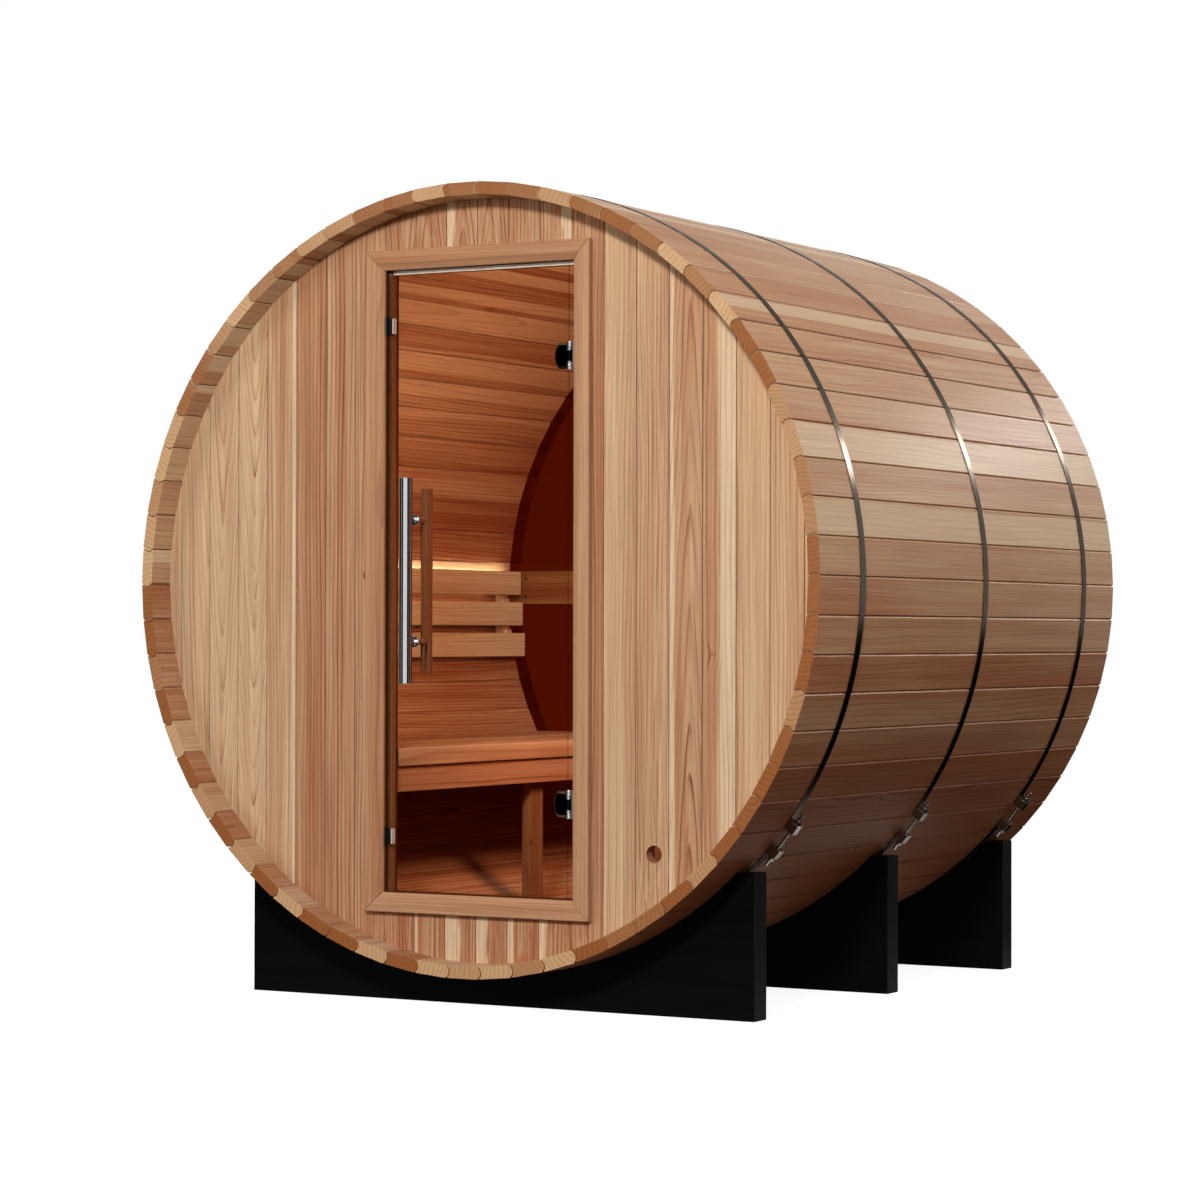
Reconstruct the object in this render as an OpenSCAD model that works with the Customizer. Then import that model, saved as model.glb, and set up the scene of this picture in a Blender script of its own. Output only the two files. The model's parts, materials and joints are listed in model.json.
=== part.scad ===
// Barrel sauna: cedar staves held by steel bands on three black cradles,
// a glass door in the front wall, a tinted glass rear wall, one bench and one backrest.
// Millimetres, +Z up, +X to the right across the front, +Y from the front to the rear.
// The origin is at ground level under the middle of the barrel.

/* [Barrel] */
// Radius to the outer stave edges
barrel_radius = 920; // [700:1:1300]
// Length of the staves
barrel_length = 1735; // [1200:1:2400]
// Height of the barrel axis over the ground
axis_height = 993.5; // [800:0.5:1400]
// Number of staves around the barrel
stave_count = 66; // [44:11:88]
// Thickness of a stave
stave_thickness = 30; // [20:1:45]
// Radius of the bead on a stave edge
bead_radius = 16; // [11:0.5:24]
// Play between a bead and the cove it sits in
joint_gap = 0.3; // [0.1:0.05:0.8]
// Depth of the grooves that hold the end walls
croze_depth = 8; // [4:1:12]

/* [Front wall] */
// Distance from the front rim to the wall face
wall_recess = 74; // [40:1:150]
// Thickness of the wall boards
wall_thickness = 30; // [18:1:45]
// Play between fixed wooden parts
fit_gap = 0.3; // [0.1:0.05:0.8]
// Radius of the cable hole
cable_hole_radius = 19; // [10:0.5:30]
// Cable hole to the right of the axis
cable_hole_x = 467; // [350:1:600]
// Cable hole below the axis
cable_hole_drop = 621; // [400:1:700]

/* [Doorway] */
// Clear width between the jambs
opening_width = 518; // [450:1:700]
// Clear height between the head and the sill
opening_height = 1467; // [1200:1:1700]
// Thickness of the jamb boards
jamb_thickness = 22; // [15:1:35]
// Depth of the jamb boards
jamb_depth = 56; // [40:1:90]
// Width of the casing on the wall face
casing_width = 46; // [30:1:70]
// Thickness of the casing
casing_thickness = 18.5; // [10:0.5:30]
// Width of the bevel along the inner edge of the casing
casing_bevel_width = 17; // [4:0.5:30]
// Depth of the bevel along the inner edge of the casing
casing_bevel_depth = 11; // [2:0.5:16]
// Width of the stops on the jambs
stop_width = 10; // [6:1:20]
// Depth of the stops on the jambs
stop_depth = 18; // [8:1:30]

/* [Door] */
// Thickness of the door glass
door_glass_thickness = 8; // [6:1:12]
// Setback of the glass behind the wall face
door_setback = 1; // [0:0.5:12]
// Play between the glass and the head and sill
door_gap = 7; // [5:0.5:12]
// Play between the glass and the left jamb
door_side_gap = 9; // [6:0.5:14]
// Play between the glass and the stops behind it
door_stop_gap = 5; // [5:0.5:8]
// Hinge axis from the right jamb
hinge_x = 13; // [9:0.5:59]
// Distance of the hinge axis in front of the wall face
hinge_lead = 4; // [0:0.5:10]
// Gap between the hinge axis and the glass edge
hinge_edge_gap = 7; // [6:0.5:15]
// Radius of a hinge knuckle
knuckle_radius = 6.5; // [5:0.5:10]
// Radius of a hinge pin
pin_radius = 3; // [2:0.5:5]
// Running clearance around a hinge pin
pin_clearance = 0.05; // [0.01:0.01:0.1]
// Height of a whole hinge
hinge_height = 65; // [40:1:90]
// Hinges from the head and the sill
hinge_offset = 219.5; // [83.5:0.5:433.5]
// Width of a hinge plate on the glass
hinge_plate_width = 33; // [20:1:50]
// Height of a hinge plate on the glass
hinge_plate_height = 59; // [30:1:80]
// Radius of the round side of a hinge plate
hinge_plate_radius = 32.5; // [30:0.5:60]
// Thickness of a hinge plate
hinge_plate_thickness = 7; // [3:0.5:10]
// Handle from the left jamb
handle_x = 83; // [29:1:139]
// Distance of the handle bars from the middle of the glass
handle_offset = 46; // [35:1:70]
// Radius of the outer steel bar
handle_outer_radius = 16; // [10:0.5:20]
// Length of the outer steel bar
handle_outer_length = 482; // [300:1:800]
// Radius of the inner wooden bar
handle_inner_radius = 14; // [10:0.5:20]
// Length of the inner wooden bar
handle_inner_length = 438; // [250:1:750]
// Distance between the handle posts
handle_post_pitch = 287; // [150:1:500]
// Radius of a handle post
handle_post_radius = 7; // [4:0.5:10]
// Radius of the bolt of a handle post
handle_bolt_radius = 4; // [3:0.5:6]
// Radius of the flange of a handle post on the glass
handle_flange_radius = 13; // [8:0.5:18]
// Thickness of the flange of a handle post
handle_flange_thickness = 5; // [2:0.5:10]
// Door catches from the head and the sill
catch_offset = 131.5; // [53.5:0.5:333.5]
// Height of a door catch
catch_height = 44; // [20:1:60]
// Thickness of a door catch on the jamb
catch_thickness = 4; // [2:0.5:8]
// Thickness of a strike plate on the glass
strike_thickness = 1.5; // [0.8:0.1:3]

/* [Rear wall] */
// Distance from the rear rim to the rear glass
rear_glass_y = 63; // [20:1:535]
// Thickness of the rear glass
rear_glass_thickness = 8; // [6:1:12]
// Height of the cross rail
rear_rail_height = 93; // [50:1:150]
// Depth of the cross rail
rear_rail_depth = 50; // [30:1:70]
// Middle of the cross rail over the axis
rear_rail_rise = 8; // [-50:1:100]
// Depth of the grooves in the cross rail
rear_rail_groove = 10; // [5:1:20]

/* [Bench] */
// Seat top below the axis
seat_drop = 398; // [300:1:500]
// Front edge of the seat to the left of the axis
seat_front = 262; // [180:1:400]
// Thickness of the seat boards
seat_thickness = 42; // [20:1:50]
// Number of seat boards
seat_boards = 5; // [3:1:8]
// Gap between the seat boards
seat_board_gap = 6; // [3:1:15]
// Height of the apron
apron_height = 62; // [40:1:120]
// Thickness of the apron
apron_thickness = 28; // [18:1:45]
// Overhang of the seat over the apron
apron_setback = 8; // [0:1:30]
// Width of a bench leg along the bench
leg_width = 67; // [30:1:100]
// Thickness of a bench leg
leg_thickness = 24; // [18:1:60]
// Middle leg in front of the middle of the barrel
leg_middle_y = 28; // [-232.5:0.5:267.5]
// Rear leg from the rear rim
leg_rear_y = 195; // [85:0.5:535]
// Height of the bearers under the seat
bearer_height = 40; // [25:1:60]
// Width of the bearers under the seat
bearer_width = 45; // [25:1:60]

/* [Backrest] */
// Height of a slat
slat_height = 66; // [40:1:100]
// Gap between the slats
slat_gap = 21; // [10:1:50]
// Thickness of a slat
slat_thickness = 18; // [12:1:30]
// Top of the upper slat over the axis
slat_top_rise = 53; // [-100:1:200]
// Face of the upper slat from the outer stave edges
slat_face = 89; // [60:1:220]
// Step of each lower slat away from the wall
slat_step = 7; // [0:1:20]

/* [Bands] */
// Width of a steel band
band_width = 25; // [15:1:50]
// Thickness of a steel band
band_thickness = 1.5; // [0.8:0.1:3]
// Play between a band and the staves
band_play = 0.2; // [0.1:0.05:0.5]
// Front band from the front rim
band_front_y = 214; // [100:1:400]
// Middle band behind the middle of the barrel
band_middle_y = 32.5; // [-267.5:0.5:332.5]
// Rear band from the rear rim
band_rear_y = 205; // [20:1:535]
// Angle of the clamps below the horizontal
clamp_angle = 39; // [20:0.5:60]
// Distance between the two clamp blocks
clamp_pitch = 72; // [50:1:120]
// Side of a clamp block
clamp_block = 24; // [14:1:40]
// Radius of the clamp rod
clamp_rod_radius = 4; // [3:0.5:6]
// Reach of the clamp rod past the middle of each block
clamp_reach = 38; // [20:1:80]
// Height of a clamp nut, and its corner radius
clamp_nut = 9; // [5:0.5:14]

/* [Cradles] */
// Width of a cradle
cradle_width = 1370; // [900:1:1800]
// Height of a cradle at its ends
cradle_height = 333; // [150:1:500]
// Thickness of a cradle
cradle_thickness = 60; // [30:1:100]
// Distance of the outer cradles from the rims
cradle_pitch = 162.5; // [30:0.5:467.5]
// Shift of the cradles to the rear
cradle_shift = 13; // [-50:1:50]
// Play between a cradle and the staves
cradle_play = 0.4; // [0.1:0.1:0.9]

/* [Hidden] */
$fn = 96;
front = -barrel_length / 2;
outside = 2 * barrel_radius;
half_pitch = 180 / stave_count;
stave_out = barrel_radius * cos(half_pitch);
stave_in = stave_out - stave_thickness;
bead_r = stave_in + stave_thickness / 2 + 1;
bead_lead = asin(sqrt(pow(bead_radius, 2) - pow(stave_thickness / 2, 2)) / bead_r);
staves_per_node = stave_count / 11;
wall_front = front + wall_recess;
wall_back = wall_front + wall_thickness;
wall_radius = stave_in + croze_depth - 1;
rough_x = opening_width / 2 + jamb_thickness;
rough_z = opening_height / 2 + jamb_thickness;
glass_front = wall_front + door_setback;
glass_back = glass_front + door_glass_thickness;
glass_mid = (glass_front + glass_back) / 2;
stop_front = glass_back + door_stop_gap;
glass_left = -opening_width / 2 + door_side_gap;
hinge_at = opening_width / 2 - hinge_x;
hinge_level = opening_height / 2 - hinge_offset;
handle_at = opening_width / 2 - handle_x;
catch_level = opening_height / 2 - catch_offset;
glass_right = hinge_at - hinge_edge_gap;
glass_half = opening_height / 2 - door_gap;
hinge_y = wall_front - hinge_lead;
lug_height = 14;
lug_play = 0.5;
rear_front = -front - rear_glass_y;
rear_back = rear_front + rear_glass_thickness;
rail_mid = (rear_front + rear_back) / 2;
seat_top = axis_height - seat_drop;
seat_under = seat_top - seat_thickness;
seat_wall = sqrt(pow(stave_in, 2) - pow(seat_drop + seat_thickness, 2)) - 0.4;
seat_board = (seat_wall - seat_front - (seat_boards - 1) * seat_board_gap) / seat_boards;
apron_back = -seat_front - apron_setback - apron_thickness - 0.2;
bench_start = wall_back + 34;
bench_end = rail_mid - rear_rail_depth / 2 - 8;
leg_middle_at = -leg_middle_y;
leg_rear_at = -front - leg_rear_y;
slat_at = barrel_radius - slat_face;
band_middle_at = barrel_length / 2 + band_middle_y;
band_rear_at = barrel_length - band_rear_y;
cradle_at = -front - cradle_pitch;
band_in = barrel_radius + band_play;
band_out = band_in + band_thickness;
cradle_radius = barrel_radius + cradle_play;
steel = [0.75, 0.76, 0.78];
cedar = [0.80, 0.62, 0.47];
black = [0.10, 0.10, 0.10];
tint = [0.35, 0.18, 0.10];

// Extrudes a drawing of the front view from one depth to another
module along_y(y0, y1) {
  translate([0, y1, 0]) rotate([90, 0, 0]) linear_extrude(y1 - y0) children();
}

// A box between two corners
module box(low, high) {
  translate(low) cube(high - low);
}

// Bead and cove section of the stave that lies at the right of the axis
module stave_section() {
  difference() {
    union() {
      translate([stave_in, bead_r * sin(-half_pitch - bead_lead)])
        square([stave_thickness, 2 * bead_r * sin(half_pitch) * cos(bead_lead)]);
      intersection() {
        translate([bead_r * cos(half_pitch - bead_lead), bead_r * sin(half_pitch - bead_lead)])
          circle(r = bead_radius);
        translate([stave_in, 0]) square([stave_thickness, stave_thickness * 3]);
      }
    }
    translate([bead_r * cos(half_pitch + bead_lead), -bead_r * sin(half_pitch + bead_lead)])
      circle(r = bead_radius + joint_gap);
  }
}

// One stave with its two grooves, turned to its place around the axis
module stave(angle) {
  translate([0, 0, axis_height]) rotate([0, -angle, 0]) difference() {
    along_y(front, -front) stave_section();
    box([stave_in - 5, wall_front - fit_gap, -60],
      [stave_in + croze_depth, wall_back + fit_gap, 60]);
    box([stave_in - 5, rear_front - fit_gap, -60],
      [stave_in + croze_depth, rear_back + fit_gap, 60]);
  }
}

// A run of staves, counted from the bottom and counter-clockwise in the front view
module stave_group(index) {
  color(cedar)
    for (i = [0 : staves_per_node - 1])
      stave(-90 + (index * staves_per_node + i - 2) * 2 * half_pitch);
}

// Round front wall before it is divided
module wall_disc() {
  translate([0, wall_back, axis_height]) rotate([90, 0, 0])
    cylinder(r = wall_radius, h = wall_thickness);
}

module front_wall_left() {
  color(cedar) intersection() {
    wall_disc();
    box([-outside, wall_front - 5, 0], [-rough_x - fit_gap, wall_back + 5, axis_height + outside]);
  }
}

module front_wall_right() {
  color(cedar) difference() {
    intersection() {
      wall_disc();
      box([rough_x + fit_gap, wall_front - 5, 0], [outside, wall_back + 5, axis_height + outside]);
    }
    translate([cable_hole_x, wall_back + 5, axis_height - cable_hole_drop]) rotate([90, 0, 0])
      cylinder(r = cable_hole_radius, h = wall_thickness + 10);
  }
}

module front_wall_top() {
  color(cedar) intersection() {
    wall_disc();
    box([-rough_x, wall_front - 5, axis_height + rough_z], [rough_x, wall_back + 5, axis_height + outside]);
  }
}

module front_wall_bottom() {
  color(cedar) intersection() {
    wall_disc();
    box([-rough_x, wall_front - 5, 0], [rough_x, wall_back + 5, axis_height - rough_z]);
  }
}

// Lining boards of the doorway
module door_jamb() {
  jamb_x = opening_width / 2;
  jamb_z = opening_height / 2;
  color(cedar) {
    for (side = [-1, 1])
      translate([side * (jamb_x + jamb_thickness / 2), wall_front + jamb_depth / 2, axis_height])
        cube([jamb_thickness - fit_gap, jamb_depth, 2 * rough_z - fit_gap], center = true);
    for (side = [-1, 1])
      translate([0, wall_front + jamb_depth / 2, axis_height + side * (jamb_z + jamb_thickness / 2)])
        cube([opening_width - fit_gap, jamb_depth, jamb_thickness - fit_gap], center = true);
  }
}

// Section of the casing: across from the opening, and out from the wall
module casing_section() {
  polygon([[0, 0], [casing_width, 0], [casing_width, casing_thickness - 2],
    [casing_width - 2, casing_thickness], [casing_bevel_width, casing_thickness],
    [0, casing_thickness - casing_bevel_depth]]);
}

// One mitred casing bar of a given inner length, with its inner edge on the X axis
module casing_bar(inner) {
  half = inner / 2 - fit_gap;
  intersection() {
    rotate([0, 0, 90]) rotate([90, 0, 0]) linear_extrude(inner + 3 * casing_width, center = true)
      casing_section();
    linear_extrude(casing_thickness)
      polygon([[-half, 0], [half, 0], [half + casing_width, casing_width],
        [-half - casing_width, casing_width]]);
  }
}

// Four mitred bars around the doorway
module door_casing() {
  color(cedar) translate([0, wall_front - fit_gap / 2, axis_height]) rotate([90, 0, 0]) {
    translate([0, opening_height / 2, 0]) casing_bar(opening_width);
    rotate(180) translate([0, opening_height / 2, 0]) casing_bar(opening_width);
    rotate(90) translate([0, opening_width / 2, 0]) casing_bar(opening_height);
    rotate(-90) translate([0, opening_width / 2, 0]) casing_bar(opening_height);
  }
}

// Fixed hinge half: a leaf on the jamb, two lugs and the pin
module hinge_leaf(z) {
  leaf_x = opening_width / 2;
  color(steel) union() {
    box([leaf_x - 3, hinge_y - knuckle_radius, z - hinge_height / 2],
      [leaf_x, stop_front - fit_gap, z + hinge_height / 2]);
    for (side = [-1, 1])
      translate([0, 0, z + side * (hinge_height - lug_height) / 2]) {
        translate([hinge_at, hinge_y, 0])
          cylinder(r = knuckle_radius, h = lug_height, center = true);
        translate([(hinge_at + leaf_x) / 2, hinge_y, 0])
          cube([leaf_x - hinge_at, knuckle_radius, lug_height], center = true);
      }
    translate([hinge_at, hinge_y, z]) cylinder(r = pin_radius, h = hinge_height, center = true);
  }
}

module hinge_leaf_upper() {
  hinge_leaf(axis_height + hinge_level);
}

module hinge_leaf_lower() {
  hinge_leaf(axis_height - hinge_level);
}

// Strips on the jambs and the head that the glass closes against
module door_stops() {
  stop_x = opening_width / 2;
  stop_z = opening_height / 2;
  color(cedar) {
    for (side = [-1, 1])
      translate([side * (stop_x - stop_width / 2), stop_front + stop_depth / 2, axis_height])
        cube([stop_width, stop_depth, opening_height], center = true);
    translate([0, stop_front + stop_depth / 2, axis_height + stop_z - stop_width / 2])
      cube([opening_width - 2 * stop_width - 2 * fit_gap, stop_depth, stop_width], center = true);
  }
}

// Two catches on the left jamb, beside the edge of the glass
module door_catches() {
  color(black)
    for (side = [-1, 1])
      translate([-opening_width / 2 + catch_thickness / 2, glass_mid,
        axis_height + side * catch_level])
        cube([catch_thickness, 17, catch_height], center = true);
}

// Two steel strike plates on each face of the glass, facing the catches
module door_strikes() {
  color(steel)
    for (side = [-1, 1])
      for (y = [glass_front - strike_thickness / 2 - 0.05, glass_back + strike_thickness / 2 + 0.05])
        translate([glass_left + 7, y, axis_height + side * catch_level])
          cube([13, strike_thickness, catch_height - 8], center = true);
}

module door_glass() {
  color([0.75, 0.85, 0.85, 0.35]) difference() {
    box([glass_left, glass_front, axis_height - glass_half],
      [glass_right, glass_back, axis_height + glass_half]);
    for (side = [-1, 1])
      translate([-handle_at, glass_back + 5, axis_height + side * handle_post_pitch / 2])
        rotate([90, 0, 0])
          cylinder(r = handle_bolt_radius + fit_gap, h = door_glass_thickness + 10);
  }
}

// Front view of a hinge plate, straight at the knuckle and round towards the glass
module hinge_plate_outline() {
  right = hinge_at - knuckle_radius - 1;
  intersection() {
    translate([right - hinge_plate_width + hinge_plate_radius, 0]) circle(r = hinge_plate_radius);
    translate([right - hinge_plate_width - 5, -hinge_plate_height / 2])
      square([hinge_plate_width + 5, hinge_plate_height]);
  }
}

// Moving hinge halves: plates on both faces of the glass and the middle knuckle
module door_hinge_plates() {
  knuckle_height = hinge_height - 2 * lug_height - 2 * lug_play;
  color(steel)
    for (side = [-1, 1])
      translate([0, 0, axis_height + side * hinge_level]) {
        difference() {
          union() {
            along_y(glass_front - hinge_plate_thickness, glass_front - 0.05)
              hinge_plate_outline();
            translate([hinge_at, hinge_y, 0])
              cylinder(r = knuckle_radius, h = knuckle_height, center = true);
            box([hinge_at - knuckle_radius - 5, hinge_y - 2, -knuckle_height / 2],
              [hinge_at, hinge_y + 2, knuckle_height / 2]);
          }
          translate([hinge_at, hinge_y, 0])
            cylinder(r = pin_radius + pin_clearance, h = hinge_height, center = true);
        }
        along_y(glass_back + 0.05, glass_back + 4) hinge_plate_outline();
      }
}

// Polished bar outside, with flanged posts and bolts through the glass
module door_handle_outer() {
  bar_y = glass_mid - handle_offset;
  color(steel) union() {
    translate([-handle_at, bar_y, axis_height])
      cylinder(r = handle_outer_radius, h = handle_outer_length, center = true);
    for (side = [-1, 1])
      translate([-handle_at, 0, axis_height + side * handle_post_pitch / 2]) {
        translate([0, glass_front - 0.05, 0]) rotate([90, 0, 0])
          cylinder(r = handle_post_radius, h = glass_front - 0.05 - bar_y);
        translate([0, glass_front - 0.05, 0]) rotate([90, 0, 0])
          cylinder(r = handle_flange_radius, h = handle_flange_thickness);
        translate([0, glass_back, 0]) rotate([90, 0, 0])
          cylinder(r = handle_bolt_radius, h = door_glass_thickness + 5);
      }
  }
}

// Round wooden bar inside, on wooden posts
module door_handle_inner() {
  bar_y = glass_mid + handle_offset;
  color(cedar) union() {
    translate([-handle_at, bar_y, axis_height])
      cylinder(r = handle_inner_radius, h = handle_inner_length, center = true);
    for (side = [-1, 1])
      translate([-handle_at, bar_y, axis_height + side * handle_post_pitch / 2]) rotate([90, 0, 0])
        cylinder(r = handle_post_radius, h = bar_y - glass_back - 0.1);
  }
}

// Round rear glass before it is divided
module rear_disc() {
  translate([0, rear_back, axis_height]) rotate([90, 0, 0])
    cylinder(r = wall_radius, h = rear_glass_thickness);
}

module rear_glass_upper() {
  edge = axis_height + rear_rail_rise + rear_rail_height / 2 - rear_rail_groove + fit_gap;
  color(tint) intersection() {
    rear_disc();
    box([-outside, rear_front - 5, edge], [outside, rear_back + 5, axis_height + outside]);
  }
}

module rear_glass_lower() {
  edge = axis_height + rear_rail_rise - rear_rail_height / 2 + rear_rail_groove - fit_gap;
  color(tint) intersection() {
    rear_disc();
    box([-outside, rear_front - 5, 0], [outside, rear_back + 5, edge]);
  }
}

// Cross rail with a groove for each pane
module rear_rail() {
  rail_z = axis_height + rear_rail_rise;
  color(cedar) difference() {
    intersection() {
      translate([0, rail_mid + rear_rail_depth / 2, axis_height]) rotate([90, 0, 0])
        cylinder(r = stave_in - fit_gap, h = rear_rail_depth);
      translate([0, rail_mid, rail_z])
        cube([outside, rear_rail_depth + 10, rear_rail_height], center = true);
    }
    for (side = [-1, 1])
      translate([0, rail_mid, rail_z + side * rear_rail_height / 2])
        cube([outside, rear_glass_thickness + 2 * fit_gap, 2 * rear_rail_groove], center = true);
  }
}

module bench_seat() {
  color(cedar)
    for (i = [0 : seat_boards - 1])
      translate([-seat_front - (i + 1) * seat_board - i * seat_board_gap, bench_start, seat_under])
        cube([seat_board, bench_end - bench_start, seat_thickness]);
}

module bench_apron() {
  color(cedar)
    box([-seat_front - apron_setback - apron_thickness, bench_start, seat_under - apron_height],
      [-seat_front - apron_setback, bench_end, seat_under - 0.1]);
}

// Bearers under the seat from the apron to the staves
module bench_bearers() {
  reach = sqrt(pow(stave_in, 2) - pow(axis_height - seat_under + bearer_height, 2)) - 0.5;
  step = (leg_width + bearer_width) / 2 + 0.2;
  color(cedar)
    for (y = [wall_back + bearer_width / 2 + 0.2, leg_middle_at + step,
      leg_rear_at + step])
      box([-reach, y - bearer_width / 2, seat_under - bearer_height],
        [apron_back, y + bearer_width / 2, seat_under - 0.1]);
}

// Upright boards behind the apron that stand on the staves
module bench_legs() {
  foot = axis_height - sqrt(pow(stave_in, 2) - pow(apron_back - leg_thickness, 2)) + 0.5;
  color(cedar)
    for (y = [leg_middle_at, leg_rear_at])
      box([apron_back - leg_thickness, y - leg_width / 2, foot],
        [apron_back, y + leg_width / 2, seat_under - 0.1]);
}

module backrest_slats() {
  color(cedar)
    for (i = [0 : 2])
      translate([-slat_at + i * slat_step - slat_thickness, bench_start,
        axis_height + slat_top_rise - i * (slat_height + slat_gap) - slat_height])
        cube([slat_thickness, bench_end - bench_start, slat_height]);
}

// Upright cleats between the slats and the staves, stepped to the backs of the slats
module backrest_cleats() {
  pitch = slat_height + slat_gap;
  low = slat_top_rise - 3 * slat_height - 2 * slat_gap + 10;
  high = slat_top_rise - 22;
  notch = slat_top_rise - slat_height - slat_gap / 2;
  face = -slat_at - slat_thickness - 0.2;
  back = sqrt(pow(stave_in, 2) - pow(low, 2)) - 0.1;
  color(cedar)
    for (y = [bench_start + 40, (bench_start + bench_end) / 2, bench_end - 60])
      translate([0, y, axis_height]) along_y(-16, 16) polygon([[-back, low],
        [face + 2 * slat_step, low], [face + 2 * slat_step, notch - pitch],
        [face + slat_step, notch - pitch], [face + slat_step, notch],
        [face, notch], [face, high], [-back, high]]);
}

// Lamp bar that lies on the cleats behind the upper slat
module light_strip() {
  color([1.0, 0.85, 0.6])
    box([-slat_at - slat_thickness - 16, bench_start + 20, axis_height + slat_top_rise - 21.9],
      [-slat_at - slat_thickness - 4, bench_end - 20, axis_height + slat_top_rise - 12]);
}

// Turns a piece drawn at the right of the axis to the middle of a clamp
module at_clamp(y) {
  translate([0, front + y, axis_height]) rotate([0, clamp_angle, 0]) children();
}

// Steel strap around the staves, open between the clamp blocks
module band(y) {
  color(steel) difference() {
    translate([0, front + y + band_width / 2, axis_height]) rotate([90, 0, 0])
      difference() {
        cylinder(r = band_out, h = band_width);
        translate([0, 0, -5]) cylinder(r = band_in, h = band_width + 10);
      }
    at_clamp(y) box([barrel_radius - 60, -band_width, -clamp_pitch / 2],
      [barrel_radius + 60, band_width, clamp_pitch / 2]);
  }
}

module band_front() {
  band(band_front_y);
}

module band_middle() {
  band(band_middle_at);
}

module band_rear() {
  band(band_rear_at);
}

// Two blocks on the strap ends, drawn together by a threaded rod
module clamp(y) {
  lead = asin(clamp_pitch / 2 / barrel_radius);
  color(steel) at_clamp(y) union() {
    for (side = [-1, 1])
      rotate([0, side * lead, 0]) translate([band_out + 0.1 + clamp_block / 2, 0, 0])
        cube([clamp_block, clamp_block, clamp_block], center = true);
    translate([band_out + clamp_block / 2, 0, 0]) {
      cylinder(r = clamp_rod_radius, h = clamp_pitch + 2 * clamp_reach, center = true);
      for (side = [-1, 1])
        translate([0, 0, side * (clamp_pitch + clamp_block + clamp_nut) / 2])
          cylinder(r = clamp_nut, h = clamp_nut + 2, center = true, $fn = 6);
    }
  }
}

module clamp_front() {
  clamp(band_front_y);
}

module clamp_middle() {
  clamp(band_middle_at);
}

module clamp_rear() {
  clamp(band_rear_at);
}

// Upright board with a round saddle for the barrel, relieved where a band crosses it
module cradle(y, band_y) {
  color(black) difference() {
    box([-cradle_width / 2, y - cradle_thickness / 2, 0],
      [cradle_width / 2, y + cradle_thickness / 2, cradle_height]);
    translate([0, y + cradle_thickness, axis_height]) rotate([90, 0, 0])
      cylinder(r = cradle_radius, h = 2 * cradle_thickness);
    translate([0, front + band_y + band_width / 2 + 2, axis_height]) rotate([90, 0, 0])
      cylinder(r = band_out + 0.6, h = band_width + 4);
  }
}

module cradle_front() {
  cradle(cradle_shift - cradle_at, band_front_y);
}

module cradle_middle() {
  cradle(cradle_shift, band_middle_at);
}

module cradle_rear() {
  cradle(cradle_shift + cradle_at, band_rear_at);
}

module staves_01() {
  stave_group(0);
}

module staves_02() {
  stave_group(1);
}

module staves_03() {
  stave_group(2);
}

module staves_04() {
  stave_group(3);
}

module staves_05() {
  stave_group(4);
}

module staves_06() {
  stave_group(5);
}

module staves_07() {
  stave_group(6);
}

module staves_08() {
  stave_group(7);
}

module staves_09() {
  stave_group(8);
}

module staves_10() {
  stave_group(9);
}

module staves_11() {
  stave_group(10);
}

staves_01();
staves_02();
staves_03();
staves_04();
staves_05();
staves_06();
staves_07();
staves_08();
staves_09();
staves_10();
staves_11();
front_wall_left();
front_wall_right();
front_wall_top();
front_wall_bottom();
door_jamb();
door_casing();
hinge_leaf_upper();
hinge_leaf_lower();
door_stops();
door_catches();
door_glass();
door_hinge_plates();
door_strikes();
door_handle_outer();
door_handle_inner();
rear_glass_upper();
rear_glass_lower();
rear_rail();
bench_seat();
bench_apron();
bench_bearers();
bench_legs();
backrest_slats();
backrest_cleats();
light_strip();
band_front();
band_middle();
band_rear();
clamp_front();
clamp_middle();
clamp_rear();
cradle_front();
cradle_middle();
cradle_rear();
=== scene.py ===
import json
import math
import random

import bmesh
import bpy
from bpy.props import (FloatProperty, FloatVectorProperty, IntProperty,
                       PointerProperty)
from mathutils import Matrix, Vector


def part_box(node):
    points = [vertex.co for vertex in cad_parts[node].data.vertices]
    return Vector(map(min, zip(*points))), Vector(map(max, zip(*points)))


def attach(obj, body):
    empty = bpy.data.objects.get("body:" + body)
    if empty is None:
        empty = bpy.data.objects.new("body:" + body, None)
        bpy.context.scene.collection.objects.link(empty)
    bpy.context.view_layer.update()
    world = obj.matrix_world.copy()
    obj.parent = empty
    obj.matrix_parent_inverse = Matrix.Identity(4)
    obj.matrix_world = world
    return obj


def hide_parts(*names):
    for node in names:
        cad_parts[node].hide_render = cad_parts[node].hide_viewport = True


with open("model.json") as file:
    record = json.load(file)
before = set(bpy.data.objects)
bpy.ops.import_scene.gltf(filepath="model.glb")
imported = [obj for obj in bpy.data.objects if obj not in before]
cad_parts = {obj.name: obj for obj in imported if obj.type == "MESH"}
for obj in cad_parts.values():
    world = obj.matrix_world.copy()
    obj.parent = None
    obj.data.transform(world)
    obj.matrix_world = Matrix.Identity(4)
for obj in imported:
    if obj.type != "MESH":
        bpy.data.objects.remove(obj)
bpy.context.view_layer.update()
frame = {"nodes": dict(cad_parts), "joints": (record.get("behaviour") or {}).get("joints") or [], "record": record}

bl_info = {
    "name": "Barrel sauna",
    "version": (1, 0, 0),
    "blender": (4, 5, 0),
    "location": "View3D > Sidebar > Sauna",
    "description": "Dresses a barrel sauna in cedar, glass and steel",
    "category": "Object",
}

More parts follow.
